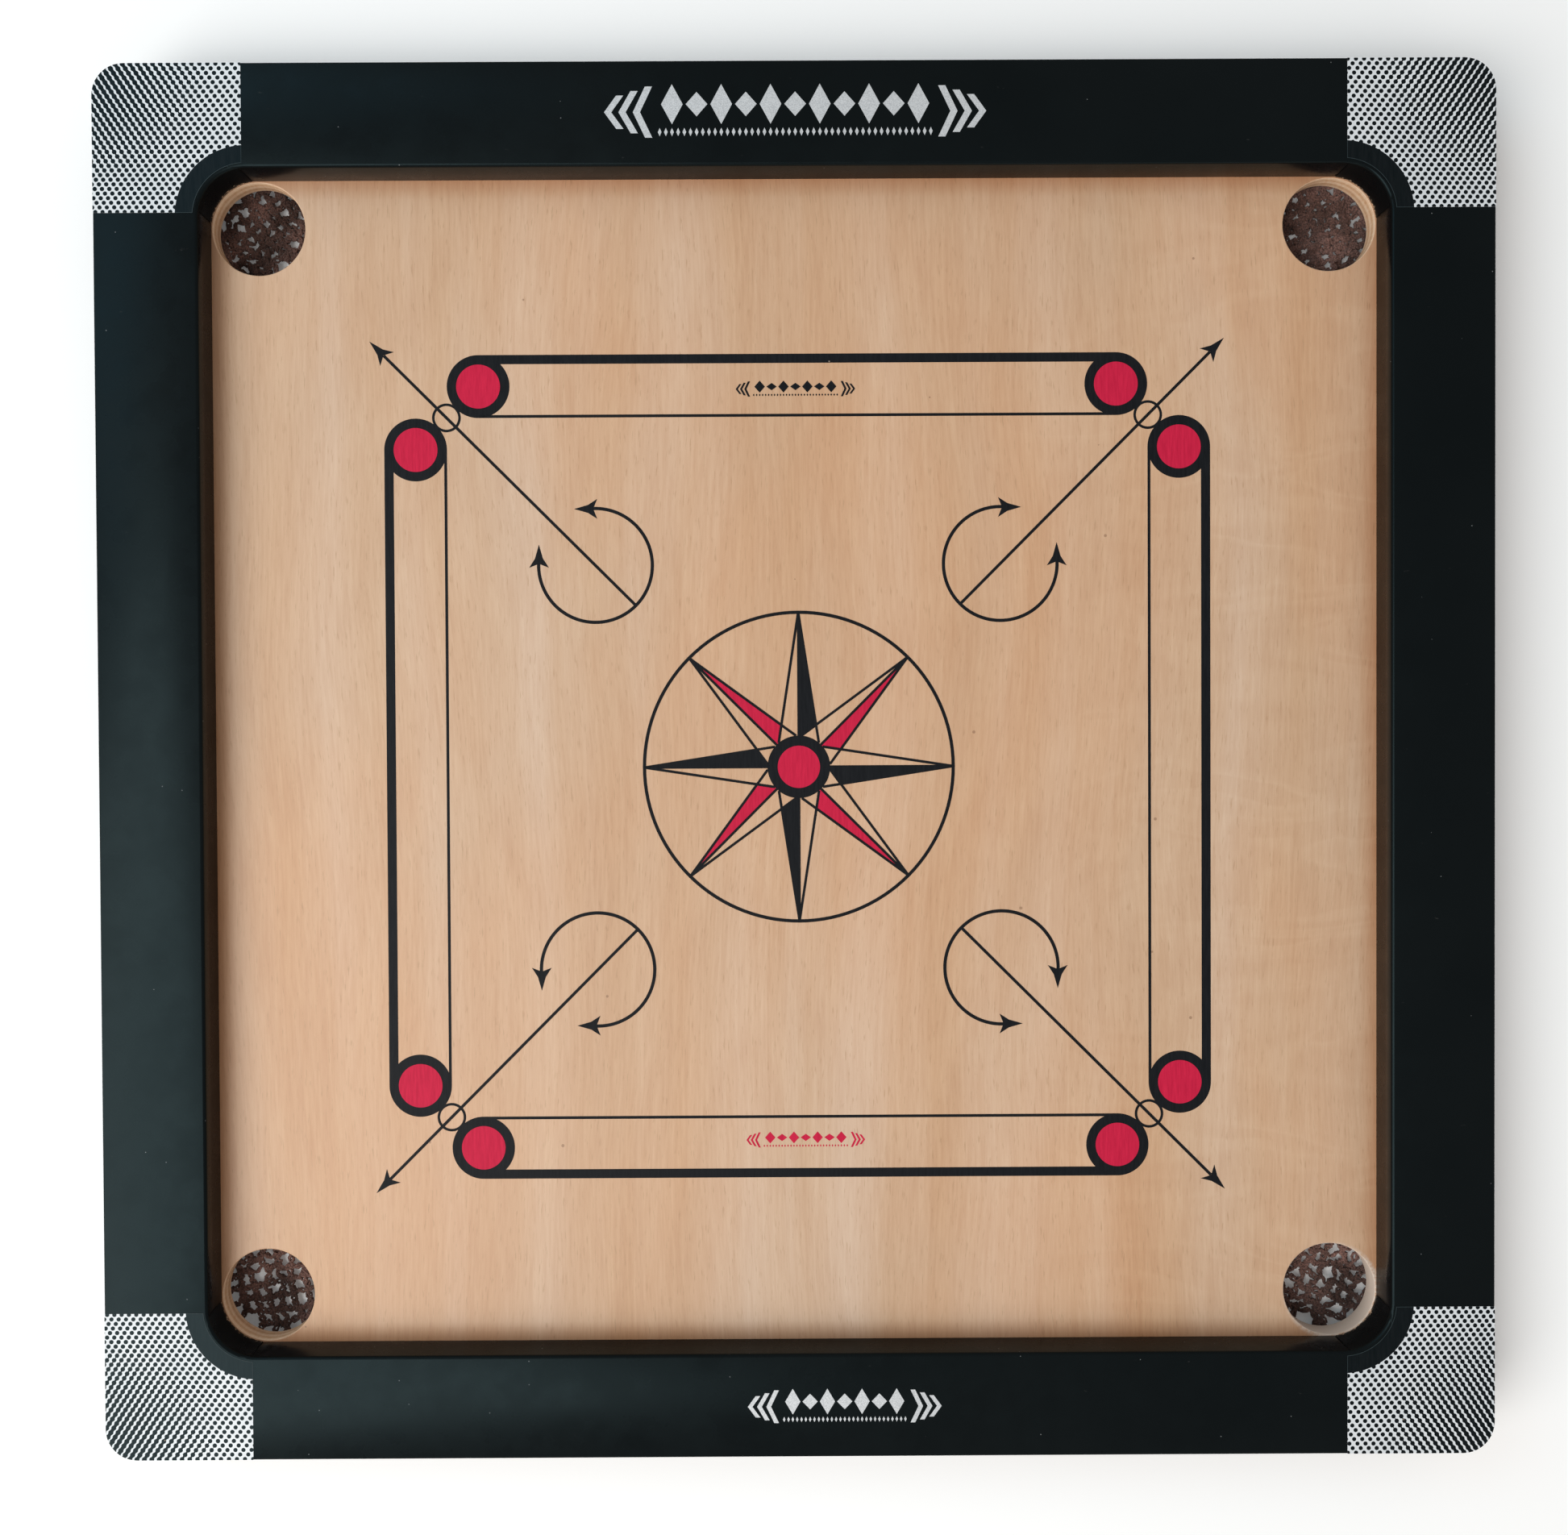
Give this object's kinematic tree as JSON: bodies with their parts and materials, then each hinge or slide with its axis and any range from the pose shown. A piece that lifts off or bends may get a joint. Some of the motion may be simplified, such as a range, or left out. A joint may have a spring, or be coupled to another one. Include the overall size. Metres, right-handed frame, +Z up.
{
  "type": "carrom board",
  "caption": "Square table-top carrom board: printed plywood playing panel in a black mitred rail frame with a round pocket and knitted net in every corner.",
  "frame": {"origin": "centre of the square frame's underside, on the surface the board rests on", "axes": "+Z up out of the playing face, +X to the right and +Y to the far rail as a player sits at the front rail"},
  "size_m": [0.66, 0.66, 0.0442],
  "materials": {
    "black_lacquer": "satin black lacquer over planed hardwood",
    "plywood": "satin lacquered face veneer with screen-printed marks",
    "spline_ply": "raw plywood",
    "batten_wood": "raw sawn softwood",
    "printed_film": "satin printed film with a dot gradient",
    "net_yarn": "knitted dull yarn",
    "mouth_cord": "twisted dull cord",
    "steel": "zinc plated"
  },
  "bodies": {
    "root": {"rail_right": "black_lacquer", "rail_back": "black_lacquer", "rail_left": "black_lacquer", "rail_front": "black_lacquer", "corner_block_front_left": "black_lacquer", "corner_block_front_right": "black_lacquer", "corner_block_back_left": "black_lacquer", "corner_block_back_right": "black_lacquer", "mitre_spline_front_left": "spline_ply", "mitre_spline_front_right": "spline_ply", "mitre_spline_back_left": "spline_ply", "mitre_spline_back_right": "spline_ply", "playing_panel": "plywood", "under_batten_1": "batten_wood", "under_batten_2": "batten_wood", "under_batten_3": "batten_wood", "batten_screw_1": "steel", "batten_screw_2": "steel", "batten_screw_3": "steel", "batten_screw_4": "steel", "batten_screw_5": "steel", "batten_screw_6": "steel", "panel_screw_1": "steel", "panel_screw_2": "steel", "panel_screw_3": "steel", "panel_screw_4": "steel", "panel_screw_5": "steel", "panel_screw_6": "steel", "panel_screw_7": "steel", "panel_screw_8": "steel", "pocket_net_front_left": "net_yarn", "net_cord_front_left": "mouth_cord", "net_tack_front_left_1": "steel", "net_tack_front_left_2": "steel", "net_tack_front_left_3": "steel", "net_tack_front_left_4": "steel", "pocket_net_front_right": "net_yarn", "net_cord_front_right": "mouth_cord", "net_tack_front_right_1": "steel", "net_tack_front_right_2": "steel", "net_tack_front_right_3": "steel", "net_tack_front_right_4": "steel", "pocket_net_back_left": "net_yarn", "net_cord_back_left": "mouth_cord", "net_tack_back_left_1": "steel", "net_tack_back_left_2": "steel", "net_tack_back_left_3": "steel", "net_tack_back_left_4": "steel", "pocket_net_back_right": "net_yarn", "net_cord_back_right": "mouth_cord", "net_tack_back_right_1": "steel", "net_tack_back_right_2": "steel", "net_tack_back_right_3": "steel", "net_tack_back_right_4": "steel", "corner_film_front_left": "printed_film", "corner_film_front_right": "printed_film", "corner_film_back_left": "printed_film", "corner_film_back_right": "printed_film"}
  },
  "joints": []
}
